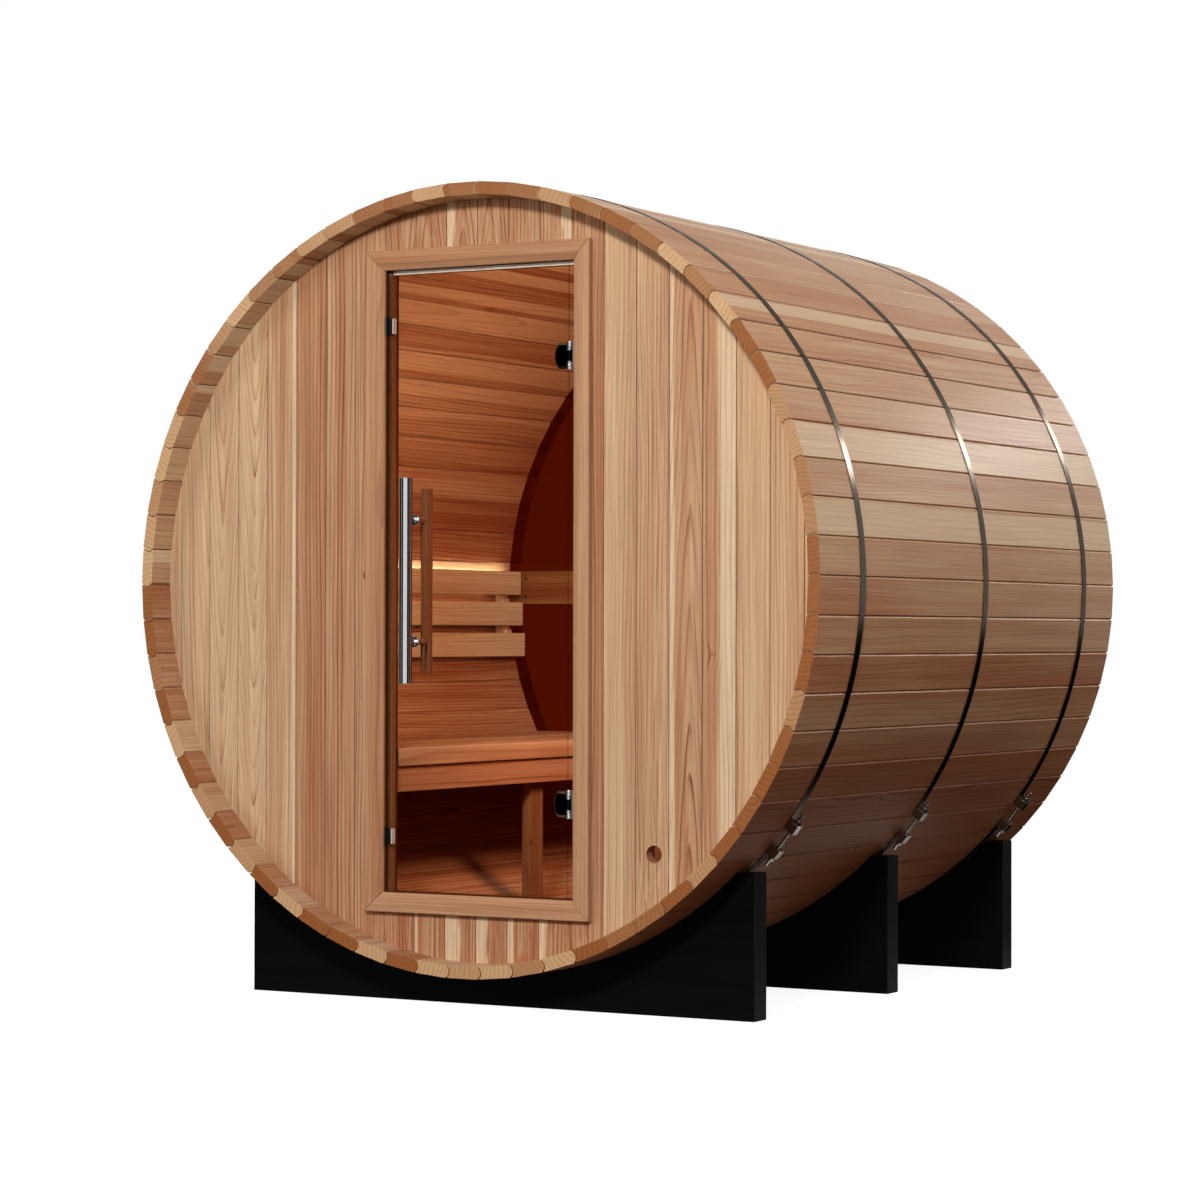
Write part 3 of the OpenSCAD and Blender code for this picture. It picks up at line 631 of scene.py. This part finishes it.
class SAUNA_OT_staves(bpy.types.Operator):
    """Build the barrel from bead and cove staves"""
    bl_idname = "sauna.staves"
    bl_label = "Staves"

    def blank(self, s):
        """One stave at the right of the axis, with the axis at the origin."""
        half = math.pi / s.stave_count
        outer = s.radius * math.cos(half)
        inner = outer - s.stave_thickness
        shift = 0.001  # of the bead, outward from the middle of the stave
        seat = inner + s.stave_thickness / 2 + shift
        lead = math.asin(math.sqrt(s.bead ** 2 - (s.stave_thickness / 2) ** 2) / seat)

        def arc(turn, radius, x_from, x_to, steps=9):
            cx, cz = seat * math.cos(turn), seat * math.sin(turn)
            first = math.acos(max(-1, min(1, (x_from - cx) / radius)))
            last = math.acos(max(-1, min(1, (x_to - cx) / radius)))
            return [(cx + radius * math.cos(first + (last - first) * i / steps),
                     cz + radius * math.sin(first + (last - first) * i / steps))
                    for i in range(steps + 1)]

        ease = s.arris
        bead = arc(half - lead, s.bead, outer - ease, inner + ease)
        cove = arc(-half - lead, s.bead + s.joint, inner + ease, outer - ease)
        ring = [(outer, bead[0][1] - ease)] + bead + [(inner, bead[-1][1] - ease)]
        ring += [(inner, cove[0][1] + ease)] + cove + [(outer, cove[-1][1] + ease)]
        mid = ((outer + inner) / 2, sum(p[1] for p in ring) / len(ring))
        bm = bmesh.new()
        grain = bm.verts.layers.float_vector.new("grain")
        ends = bm.faces.layers.float.new("end")
        loops = []
        front, rear, worn = STAVE_LOW.y, STAVE_HIGH.y, 0.0008
        for y, inset in ((front, worn), (front + worn, 0.0), (rear - worn, 0.0), (rear, worn)):
            loop = []
            for x, z in ring:
                pull = Vector((mid[0] - x, mid[1] - z)).normalized() * inset
                v = bm.verts.new((x + pull.x, y, z + pull.y))
                v[grain] = (z - mid[1], x - mid[0], y)
                loop.append(v)
            loops.append(loop)
        count = len(ring)
        for one, two in zip(loops, loops[1:]):
            for i in range(count):
                bm.faces.new((one[i], two[i], two[(i + 1) % count], one[(i + 1) % count]))
        for loop in (loops[0], loops[-1][::-1]):
            bm.faces.new(loop)[ends] = 1.0
        bmesh.ops.recalc_face_normals(bm, faces=bm.faces)
        return mesh_of(bm, "stave_blank", STAVE_SHARP)

    def ring_tree(self, material):
        """Repeats a stave around the axis, each with its own seed, tone, pith and sapwood."""
        t = Tree("stave_ring", (("Stave", "Geometry"), ("Count", "Int"), ("Start angle", "Float"),
                                ("Axis height", "Float"), ("Seed", "Int")), "Barrel")
        given = t.given
        step = t.maths("DIVIDE", math.tau, given["Count"])
        turn = t.maths("MULTIPLY_ADD", t.add("GeometryNodeInputIndex", {}), step,
                       given["Start angle"])
        spin = t.add("ShaderNodeCombineXYZ", {"Y": t.maths("MULTIPLY", turn, -1.0)})
        facing = t.add("FunctionNodeEulerToRotation", {0: spin})
        points = t.add("GeometryNodePoints", {"Count": given["Count"]})
        chain = t.add("GeometryNodeInstanceOnPoints",
                      {"Points": points, "Instance": given["Stave"], "Rotation": facing})
        height = t.maths("SINE", turn)
        # The leans draw the tone paler and the sapwood stripes wider toward the top of the barrel, and deeper and
        # narrower toward the bottom: painted sheen on top and painted shade below.
        for label, low, high, lean, extra in (
                ("seed", 0.0, 90.0, 0.0, 0), ("tone", 0.40, 0.86, -0.18, 7),
                ("pith", (-0.20, 0.012, -0.02), (0.20, 0.06, 0.02), 0.0, 13),
                ("sap", (-0.10, -0.12, -0.30), (0.12, 0.02, 1.60), 0.12, 29)):
            seed = t.maths("ADD", given["Seed"], extra)
            rise = t.maths("MULTIPLY", height, lean)
            kind, total = "FLOAT", "ShaderNodeMath"
            if not isinstance(low, float):
                kind, total = "FLOAT_VECTOR", "ShaderNodeVectorMath"
                rise = t.add("ShaderNodeCombineXYZ", {"Y": rise})
            draw = t.add("FunctionNodeRandomValue", {"Min": low, "Max": high, "Seed": seed},
                         data_type=kind)
            value = t.add(total, {0: draw, 1: rise}, operation="ADD")
            chain = t.add("GeometryNodeStoreNamedAttribute",
                          {"Geometry": chain, "Name": label, "Value": value},
                          data_type=kind, domain="INSTANCE")
        whole = t.add("GeometryNodeRealizeInstances", {"Geometry": chain})
        lift = t.add("ShaderNodeCombineXYZ", {"Z": given["Axis height"]})
        moved = t.add("GeometryNodeTransform", {"Geometry": whole, "Translation": lift})
        return t.close(moved, material)

    def execute(self, context):
        s = context.scene.sauna_sizes
        mesh = grown(context, "barrel_staves", self.blank(s),
                     self.ring_tree(finishes(context)["stave"]),
                     {"Count": s.stave_count, "Start angle": -math.pi / 2,
                      "Axis height": AXIS_Z, "Seed": STAVE_SEED})
        settle("barrel_staves", mesh, "cabin", "cedar_stave", None, *STAVE_NODES)
        return {"FINISHED"}


class SAUNA_OT_front_wall(bpy.types.Operator):
    """Build the boards of the front wall"""
    bl_idname = "sauna.front_wall"
    bl_label = "Front wall"

    # tone of each board from left to right, 0 is sapwood and 1 is heartwood; the boards over the doorway are drawn
    # deeper, partly as painted shade under the rim
    tones = (0.02, 0.04, 0.13, 0.12, 0.42, 0.68, 0.66, 0.66, 0.60, 0.66, 0.62, 0.64, 0.60,
             0.56, 0.62, 0.26, 0.36, 0.50, 0.50, 0.23, 0.27, 0.26)
    # boards sawn near the pith, with arched rings
    arched = {1: (0.050, 0.026, -0.045), 2: (-0.004, 0.011, -0.062), 3: (0.006, 0.011, -0.098),
              8: (0.014, 0.012, -0.080), 9: (-0.008, 0.010, 0.090), 10: (0.004, 0.009, 0.110),
              11: (-0.010, 0.010, 0.080), 17: (0.012, 0.013, 0.055)}
    # boards with a stripe of sapwood along an edge
    striped = {4: (0.029, 0.06), 10: (-0.06, -0.02), 13: (0.015, 0.06),
               17: (-0.06, -0.028), 18: (-0.003, 0.06)}
    # tone and sapwood stripe of the short boards under the doorway
    under = {8: (0.74, None), 9: (0.74, (-0.06, -0.029)), 10: (0.72, (-0.06, -0.002)),
             11: (0.84, (-0.06, -0.009)), 12: (0.80, (-0.06, -0.023)),
             13: (0.70, (-0.06, -0.020))}

    def outline(self, left, right, radius, notch, hole):
        """Closed outlines, in the front view, of what is left of one board."""
        def edge(x_from, x_to, sign):
            steps = 8
            xs = [x_from + (x_to - x_from) * i / steps for i in range(steps + 1)]
            return [(x, sign * math.sqrt(max(radius ** 2 - x * x, 1e-9))) for x in xs]

        half_x, half_z = notch
        low, high = max(left, -half_x), min(right, half_x)
        foot, crown = edge(left, right, -1), edge(right, left, 1)
        if high - low < 1e-4:
            if hole is None:
                return [foot + crown]
            x, z, r = hole
            arc = [(x + r * math.cos(math.pi * i / 14), r * math.sin(math.pi * i / 14))
                   for i in range(15)]
            under = foot + [(right, z)] + [(px, z - pz) for px, pz in arc] + [(left, z)]
            over = [(left, z)] + [(px, z + pz) for px, pz in arc[::-1]] + [(right, z)] + crown
            return [under, over]
        if high - low > right - left - 1e-4:
            return [foot + [(right, -half_z), (left, -half_z)],
                    [(left, half_z), (right, half_z)] + crown]
        if left < -half_x:
            return [foot + [(right, -half_z), (-half_x, -half_z), (-half_x, half_z),
                            (right, half_z)] + crown]
        return [foot + crown + [(left, half_z), (half_x, half_z), (half_x, -half_z),
                                (left, -half_z)]]

    def board(self, bm, loops):
        """Raises the solid of one board from its outlines and gives its corners."""
        corners = {}
        for loop in loops:
            verts = []
            for x, z in loop:
                key = (round(x, 5), round(z, 5))
                if key not in corners:
                    corners[key] = bm.verts.new((x, WALL_LOW.y, z + AXIS_Z))
                if not verts or verts[-1] is not corners[key]:
                    verts.append(corners[key])
            if verts[0] is verts[-1]:
                verts.pop()
            bm.faces.new(verts)
        group = list(corners.values())
        faces = list({f for v in group for f in v.link_faces})
        grown = bmesh.ops.extrude_face_region(bm, geom=faces)["geom"]
        new = [g for g in grown if isinstance(g, bmesh.types.BMVert)]
        bmesh.ops.translate(bm, verts=new, vec=(0, WALL_HIGH.y - WALL_LOW.y, 0))
        return group + new

    def execute(self, context):
        s = context.scene.sauna_sizes
        outlet = next(m for m in frame["record"]["mounts"] if m["name"] == "cable_outlet")
        hole_x, hole_z = outlet["pos_m"][0], outlet["pos_m"][2] - AXIS_Z
        hole_r = outlet["dims"]["r_mm"] / 1000
        half = math.pi / s.stave_count
        radius = s.radius * math.cos(half) - s.stave_thickness + s.board_hold
        play, rim, narrowest = 0.0002, 0.002, 0.006
        notch = (JAMB_HIGH.x + play, JAMB_HIGH.z - AXIS_Z + play)
        gap = s.board_gap / 2
        bm = bmesh.new()
        layers = grain_layers(bm)
        boards_left = 7
        first = -s.board_shift - boards_left * s.board_pitch
        for k in range(len(self.tones)):
            left = max(first + k * s.board_pitch + gap, -radius + rim)
            right = min(first + (k + 1) * s.board_pitch - gap, radius - rim)
            if right - left < narrowest:
                continue
            hole = (hole_x, hole_z, hole_r) if left < hole_x - hole_r and \
                right > hole_x + hole_r else None
            loops = self.outline(left, right, radius, notch, hole)
            straight = ((-1) ** k * (0.14 + 0.02 * (k % 5)), 0.03, 0.004 * (k % 3 - 1))
            looks = [(3.1 + 2.3 * k, self.tones[k], self.arched.get(k, straight),
                      self.striped.get(k))]
            boards = [loops]
            if len(loops) == 2 and hole is None:
                boards = [loops[1:], loops[:1]]
                tone, stripe = self.under[k]
                looks.append((61.3 + 2.3 * k, tone, straight, stripe))
            for board, (seed, tone, pith, stripe) in zip(boards, looks):
                group = self.board(bm, board)
                centre = (left + right) / 2
                for v in group:
                    v[layers["grain"]] = (v.co.x - centre, v.co.y - WALL_LOW.y, v.co.z)
                mark_board(group, layers, seed, tone, pith, stripe)
                for face in {f for v in group for f in v.link_faces} if hole else ():
                    middle = face.calc_center_median()
                    away = math.hypot(middle.x - hole_x, middle.z - AXIS_Z - hole_z)
                    face[layers["end"]] = 1.0 if away < hole_r else 0.0
        bmesh.ops.recalc_face_normals(bm, faces=bm.faces)
        piece = settle("front_boards", mesh_of(bm, "front_boards"), "cabin", "cedar_wall",
                       finishes(context)["wall"], "front_wall_left", "front_wall_right",
                       "front_wall_top", "front_wall_bottom")
        rounded(piece, s.board_edge, 1)
        return {"FINISHED"}


class SAUNA_OT_doorway(bpy.types.Operator):
    """Finish the lining, the casing and the stops of the doorway"""
    bl_idname = "sauna.doorway"
    bl_label = "Doorway"

    def execute(self, context):
        s, made = context.scene.sauna_sizes, finishes(context)
        dressed("door_jamb", "doorway_lining", "cedar_trim", made["lining"], TRIM_EDGE,
                (0.75, 0.7, 0.65, 0.8), 41)
        dressed("door_casing", "doorway_casing", "cedar_trim", made["trim"], TRIM_EDGE,
                (0.66, 0.62, 0.72, 0.62), 53)
        stops = dressed("door_stops", "doorway_stops", "cedar_trim", made["rail"], TRIM_EDGE,
                        (0.7, 0.1, 0.6), 61)
        # The pale face under the head is partly a seal, partly a painted highlight.
        stops.data.materials.append(made["seal"])
        for polygon in stops.data.polygons:
            under_head = polygon.center.z > JAMB_HIGH.z - 0.06 and polygon.normal.y < -0.9
            polygon.material_index = 1 if under_head else 0
        for side in ("upper", "lower"):
            dressed("hinge_leaf_" + side, "hinge_wing_" + side, "polished_steel", made["steel"],
                    s.steel_edge)
        dressed("door_catches", "roller_catches", "catch_black", made["catch"], 0.002)
        return {"FINISHED"}


class SAUNA_OT_door(bpy.types.Operator):
    """Finish the glass door, its hinges and its handles"""
    bl_idname = "sauna.door"
    bl_label = "Door"

    def plate(self, bm, left, right, middle, half, bow, levels, inset):
        """A plate with one round side, and a bevel between its last two levels."""
        loops = []
        for y, trim in zip(levels, (0.0, 0.0, inset)):
            reach, tall = bow - trim, half - trim
            start = math.asin(tall / reach)
            points = [(left + bow - reach * math.cos(turn), reach * math.sin(turn))
                      for turn in (start * (1 - i / 6) for i in range(13))]
            points += [(right - trim * 0.3, -tall), (right - trim * 0.3, tall)]
            loops.append([bm.verts.new((x, y, middle + z)) for x, z in points])
        for k, (one, two) in enumerate(zip(loops, loops[1:])):
            skin(bm, one, two, k)
        bm.faces.new(loops[0])
        bm.faces.new(loops[-1])

    def knuckle(self, bm, radius, bore, low, high):
        """A bored knuckle with a groove near each end, and the arm to its plate."""
        groove = 0.86 * radius
        half = [(bore, 0.0), (0.9 * radius, 0.0), (radius, 0.0006), (radius, 0.0045),
                (groove, 0.0049), (groove, 0.0059), (radius, 0.0063)]
        profile = [(r, low + z) for r, z in half] + [(r, high - z) for r, z in half[::-1]]
        loops = [[bm.verts.new((HINGE.x + x, HINGE.y + y, z)) for x, y in circle(r, 28)]
                 for r, z in profile]
        for k, (one, two) in enumerate(zip(loops, loops[1:] + loops[:1])):
            skin(bm, one, two, 0 if k in (4, len(half) - 1, len(half) + 4) else 2)
        for v in bmesh.ops.create_cube(bm, size=1.0)["verts"]:
            v.co = (HINGE.x - radius - 0.002 + v.co.x * 0.008, HINGE.y + v.co.y * 0.004,
                    (low + high) / 2 + v.co.z * (high - low - 0.002))

    def hinges(self, context):
        """Plates on both faces of the glass, and the knuckles that they turn on."""
        s, made = context.scene.sauna_sizes, finishes(context)
        low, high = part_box("door_hinge_plates")
        pane_low, pane_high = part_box("door_glass")
        radius = high.x - HINGE.x
        right = HINGE.x - radius - 0.001
        # thickness of the plates, their play on the glass, and the bore for the pin
        outer, inner, play, bore = 0.007, 0.004, 0.0001, 0.0031
        bm = bmesh.new()
        for side in ("lower", "upper"):
            leaf_low, leaf_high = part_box("hinge_leaf_" + side)
            middle = (leaf_low.z + leaf_high.z) / 2
            half = (leaf_high.z - leaf_low.z) / 2 - 0.003
            front, back = pane_low.y - outer, pane_high.y + inner
            for levels, bevel in (((pane_low.y - play, front + 0.0032, front), 0.005),
                                  ((pane_high.y + play, back - 0.0008, back), 0.001)):
                self.plate(bm, low.x, right, middle, half, s.plate_bow, levels, bevel)
            self.knuckle(bm, radius, bore, middle - s.knuckle / 2, middle + s.knuckle / 2)
        bmesh.ops.recalc_face_normals(bm, faces=bm.faces)
        mesh = mesh_of(bm, "glass_clamps", SHARP)
        for look in ("plate", "bevel", "steel"):
            mesh.materials.append(made[look])
        settle("glass_clamps", mesh, "door", "polished_steel", None, "door_hinge_plates")

    def execute(self, context):
        s, made = context.scene.sauna_sizes, finishes(context)
        self.hinges(context)
        pane = dressed("door_glass", "door_pane", "clear_glass", made["clear"], s.steel_edge,
                       body="door")
        pane.data.materials.append(made["edge"])
        for polygon in pane.data.polygons:
            polygon.material_index = 0 if abs(polygon.normal.y) > 0.9 else 1
        for node, name, slot, look, edge in (
                ("door_strikes", "catch_plates", "catch_black", "strike", 0.0006),
                ("door_handle_outer", "steel_handle", "polished_steel", "steel", 0.0012)):
            dressed(node, name, slot, made[look], edge, body="door")
        dressed("door_handle_inner", "wooden_handle", "cedar_trim", made["grip"], 0.002,
                (0.75,), 71, "door", 2)
        return {"FINISHED"}


class SAUNA_OT_rear_wall(bpy.types.Operator):
    """Finish the rear glass and the cross rail with its screws"""
    bl_idname = "sauna.rear_wall"
    bl_label = "Rear wall"

    def head(self, radius):
        """One screw head with a cross recess, facing the front."""
        bm = bmesh.new()
        rings = ((1.0, 0.0005), (1.0, -0.0002), (0.86, -0.0006), (0.50, -0.0007))
        loops = [[bm.verts.new((x, y, z)) for x, z in circle(radius * share, 16)]
                 for share, y in rings]
        for one, two in zip(loops, loops[1:]):
            skin(bm, one, two)
        bm.faces.new(loops[0])
        cross = [bm.verts.new((v.co.x * (0.9 if i % 4 == 0 else 0.35), 0.0002,
                               v.co.z * (0.9 if i % 4 == 0 else 0.35)))
                 for i, v in enumerate(loops[-1])]
        skin(bm, loops[-1], cross)
        bm.faces.new(cross)
        bmesh.ops.recalc_face_normals(bm, faces=bm.faces)
        return mesh_of(bm, "screw_blank")

    def screw_tree(self, material):
        """Sets a screw head at the corners of an upright rectangle."""
        t = Tree("rail_screws", (("Screw", "Geometry"), ("Width", "Float"), ("Height", "Float"),
                                 ("Middle", "Vector")), "Screws")
        grid = t.add("GeometryNodeMeshGrid", {
            "Size X": t.given["Width"], "Size Y": t.given["Height"],
            "Vertices X": 2, "Vertices Y": 2})
        upright = t.add("GeometryNodeTransform", {
            "Geometry": grid, "Translation": t.given["Middle"], "Rotation": (math.pi / 2, 0, 0)})
        placed = t.add("GeometryNodeInstanceOnPoints",
                       {"Points": upright, "Instance": t.given["Screw"]})
        return t.close(t.add("GeometryNodeRealizeInstances", {"Geometry": placed}), material)

    def execute(self, context):
        s, made = context.scene.sauna_sizes, finishes(context)
        coat(["rear_glass_upper", "rear_glass_lower"], made["bronze"])
        dressed("rear_rail", "cross_rail", "cedar_trim", made["rail"], 0.0015, (0.8,), 83)
        low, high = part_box("rear_rail")
        mesh = grown(context, "rail_screws", self.head(s.screw), self.screw_tree(made["screw"]),
                     {"Width": 2 * s.screw_reach, "Height": s.screw_rise,
                      "Middle": (0.0, low.y - 0.0001, (low.z + high.z) / 2)})
        settle("rail_screws", mesh, "cabin", "band_steel", None)
        return {"FINISHED"}


class SAUNA_OT_bench(bpy.types.Operator):
    """Finish the bench, the backrest and its lamp"""
    bl_idname = "sauna.bench"
    bl_label = "Bench"

    def execute(self, context):
        s, made = context.scene.sauna_sizes, finishes(context)
        for node, name, tones, seed in (
                ("bench_seat", "seat_boards", (0.7, 0.85, 0.55, 0.8, 0.65), 91),
                ("bench_apron", "seat_apron", (1.0,), 103),
                ("bench_bearers", "seat_bearers", (0.6, 0.5, 0.7), 107),
                ("bench_legs", "seat_legs", (0.65, 0.5), 113),
                ("backrest_slats", "backrest_boards", (0.20, 0.10, 0.0), 121),
                ("backrest_cleats", "backrest_blocks", (0.4, 0.5, 0.3), 127)):
            # The bench legs take the grip tint as painted shade under the seat.
            dressed(node, name, "cedar_bench", made["grip" if node == "bench_legs" else "bench"],
                    s.plank_edge, tones, seed)
        coat(["light_strip"], made["lamp"])
        return {"FINISHED"}


class SAUNA_OT_bands(bpy.types.Operator):
    """Finish the steel bands and their clamps"""
    bl_idname = "sauna.bands"
    bl_label = "Bands"

    def execute(self, context):
        s, made = context.scene.sauna_sizes, finishes(context)
        coat(["band_front", "band_middle", "band_rear"], made["band"])
        for side in ("front", "middle", "rear"):
            dressed("clamp_" + side, "band_clamp_" + side, "band_steel", made["clamp"],
                    s.steel_edge)
        return {"FINISHED"}


class SAUNA_OT_cradles(bpy.types.Operator):
    """Finish the black cradles"""
    bl_idname = "sauna.cradles"
    bl_label = "Cradles"

    def execute(self, context):
        made = finishes(context)
        for i, side in enumerate(("front", "middle", "rear")):
            dressed("cradle_" + side, "cradle_board_" + side, "cradle_black", made["black"],
                    0.0, (0.5,), 131 + i)
        return {"FINISHED"}


class SAUNA_OT_stage(bpy.types.Operator):
    """Set the floor, the lamps, the room and the camera"""
    bl_idname = "sauna.stage"
    bl_label = "Stage"

    def lamp(self, name, place, target, power, wide, tall):
        light = bpy.data.lights.new(name, "AREA")
        light.shape = "RECTANGLE"
        light.size, light.size_y = wide, tall
        light.energy = power
        obj = linked(name, light)
        obj.location = place
        obj.rotation_euler = (Vector(target) - Vector(place)).to_track_quat("-Z", "Y").to_euler()
        obj.visible_camera = False
        return obj

    def card(self, name, corners, material):
        """A dark card that only mirrors, glass and gloss see."""
        bm = bmesh.new()
        bm.faces.new([bm.verts.new(place) for place in corners])
        mesh = mesh_of(bm, name)
        mesh.materials.append(material)
        obj = linked(name, mesh)
        for kind in ("camera", "diffuse", "transmission", "volume_scatter", "shadow"):
            setattr(obj, "visible_" + kind, False)

    def execute(self, context):
        scene, g = context.scene, context.scene.sauna_stage
        scene.view_settings.view_transform = "Standard"
        bm = bmesh.new()
        bmesh.ops.create_grid(bm, x_segments=8, y_segments=8, size=30.0)
        mesh = mesh_of(bm, "studio_floor")
        floor = linked("studio_floor", mesh)
        f = finish("studio_floor")
        clouds = f.noise(f.place(), (0.6, 0.6, 0.6))
        pale = f.node("BsdfDiffuse", {}, {"Color": f.mix(clouds, (0.24, 0.24, 0.24),
                                                                   (0.27, 0.27, 0.27))})
        x, y = f.split(f.place())[:2]
        away = (((x * x + y * y) ** 0.5 - 1.6) / 2.5).clamped()
        white = f.node("Emission", {}, {"Color": (1, 1, 1),
                                                  "Strength": 0.90 + away * 0.12})
        both = f.node("AddShader", {}, {0: pale, 1: white})
        dim = f.node("BsdfDiffuse", {}, {"Color": (0.125, 0.088, 0.062)})
        share = f.node("MixShader", {}, {0: f.seen(), 1: dim, 2: both})
        mesh.materials.append(f.close(share))

        world = bpy.data.worlds.new("studio_room")
        scene.world = world
        w = Finish(world)
        seen = w.seen()
        room = w.node("Background", {}, {"Color": (1, 1, 1),
                                                   "Strength": seen + (1 - seen) * g.ambient})
        w.close(room, "OutputWorld")

        middle, front = (0.0, 0.0, AXIS_Z), (0.0, -0.8, AXIS_Z)
        lamps = {}
        for name, place, target, power, wide, tall in (
                ("key", (2.2, -6.5, 3.6), front, g.key, 0.8, 0.8),
                ("side", (4.6, 0.7, AXIS_Z + 4.0), middle, g.side, 4.2, 0.9),
                ("fill", (-4.6, -6.0, 2.2), front, g.fill, 2.5, 2.5),
                ("rear", (2.5, 5.4, 3.1), (0.0, 0.8, AXIS_Z), g.rear, 2.8, 0.45),
                ("hem", (0.75, 1.30, AXIS_Z + 0.25), (-0.87, 0.85, AXIS_Z + 0.2), g.hem, 0.3, 0.6),
                ("left", (-4.5, 1.5, 3.0), middle, g.left, 1.5, 1.5),
                ("cabin", (0.46, -0.20, 1.18), (-0.75, 0.15, 0.80), g.inside, 0.35, 0.35)):
            lamps[name] = self.lamp(name + "_lamp", place, target, power, wide, tall)
        lamps["hem"].data.spread = math.radians(70)
        lamps["cabin"].data.color = scene.sauna_colours.inside
        for name in ("fill", "hem", "left", "cabin"):
            lamps[name].visible_glossy = False
        f = finish("studio_card")
        clouds = f.noise(f.place(), (2.0, 2.0, 2.0))
        dark = f.surface(Base_Color=f.mix(clouds, (0.010, 0.010, 0.010), (0.016, 0.016, 0.016)),
                         Roughness=0.9, Specular_IOR_Level=0.0)
        for name, x, y, wide, tall in (("dark_card_left", -4.2, -2.6, 3.6, 3.6),
                                       ("dark_card_door", -2.4, -6.2, 3.4, 3.2),
                                       ("dark_card_right", 5.0, -0.9, 5.4, 2.6)):
            aside = Vector((y, -x, 0)).normalized() * (wide / 2)
            self.card(name, [(x + s * aside.x, y + s * aside.y, z) for s, z in
                             ((-1, 0.02), (1, 0.02), (1, tall), (-1, tall))], dark)
        for name, x, y, far_x, far_y in (("dark_card_floor_left", -8.0, -1.3, -0.93, 9.0),
                                         ("dark_card_floor_right", 0.93, -1.3, 8.0, 9.0),
                                         ("dark_card_floor_rear", -0.93, 1.0, 0.93, 9.0),
                                         ("dark_card_floor_front", -6.0, -7.0, 1.5, -1.3)):
            self.card(name, [(x, y, 0.004), (far_x, y, 0.004), (far_x, far_y, 0.004),
                             (x, far_y, 0.004)], dark)

        yaw, pitch, roll = (math.radians(v) for v in g.turn)
        ahead = Vector((math.sin(yaw) * math.cos(pitch), math.cos(yaw) * math.cos(pitch),
                        math.sin(pitch)))
        right = Vector((math.cos(yaw), -math.sin(yaw), 0.0))
        down = ahead.cross(right)
        right, down = (math.cos(roll) * right + math.sin(roll) * down,
                       -math.sin(roll) * right + math.cos(roll) * down)
        eye = bpy.data.cameras.new("photo_camera")
        eye.sensor_fit = "HORIZONTAL"
        eye.sensor_width = 36.0
        eye.lens = g.lens
        eye.clip_end = 200.0
        camera = linked("photo_camera", eye)
        turn = Matrix((right, -down, -ahead)).transposed().to_4x4()
        camera.matrix_world = Matrix.Translation(Vector(g.place)) @ turn
        scene.camera = camera
        return {"FINISHED"}


STEPS = (SAUNA_OT_staves, SAUNA_OT_front_wall, SAUNA_OT_doorway, SAUNA_OT_door,
         SAUNA_OT_rear_wall, SAUNA_OT_bench, SAUNA_OT_bands, SAUNA_OT_cradles, SAUNA_OT_stage)


class SAUNA_PT_panel(bpy.types.Panel):
    """Lists the steps that dress the sauna"""
    bl_idname = "SAUNA_PT_panel"
    bl_label = "Barrel sauna"
    bl_space_type = "VIEW_3D"
    bl_region_type = "UI"
    bl_category = "Sauna"

    def draw(self, context):
        for step in STEPS:
            self.layout.operator(step.bl_idname)
        for group in (context.scene.sauna_sizes, context.scene.sauna_colours,
                      context.scene.sauna_stage):
            box = self.layout.box()
            for key in group.bl_rna.properties.keys():
                if key not in ("rna_type", "name"):
                    box.prop(group, key)


GROUPS = (("sauna_sizes", SaunaSizes), ("sauna_colours", SaunaColours),
          ("sauna_stage", SaunaStage))


def register():
    for label, group in GROUPS:
        bpy.utils.register_class(group)
        setattr(bpy.types.Scene, label, PointerProperty(type=group))
    for step in STEPS + (SAUNA_PT_panel,):
        bpy.utils.register_class(step)


def unregister():
    for step in reversed(STEPS + (SAUNA_PT_panel,)):
        bpy.utils.unregister_class(step)
    for label, group in reversed(GROUPS):
        delattr(bpy.types.Scene, label)
        bpy.utils.unregister_class(group)


def main():
    register()
    for step in STEPS:
        area, verb = step.bl_idname.split(".")
        getattr(getattr(bpy.ops, area), verb)()


if __name__ == "__main__":
    main()
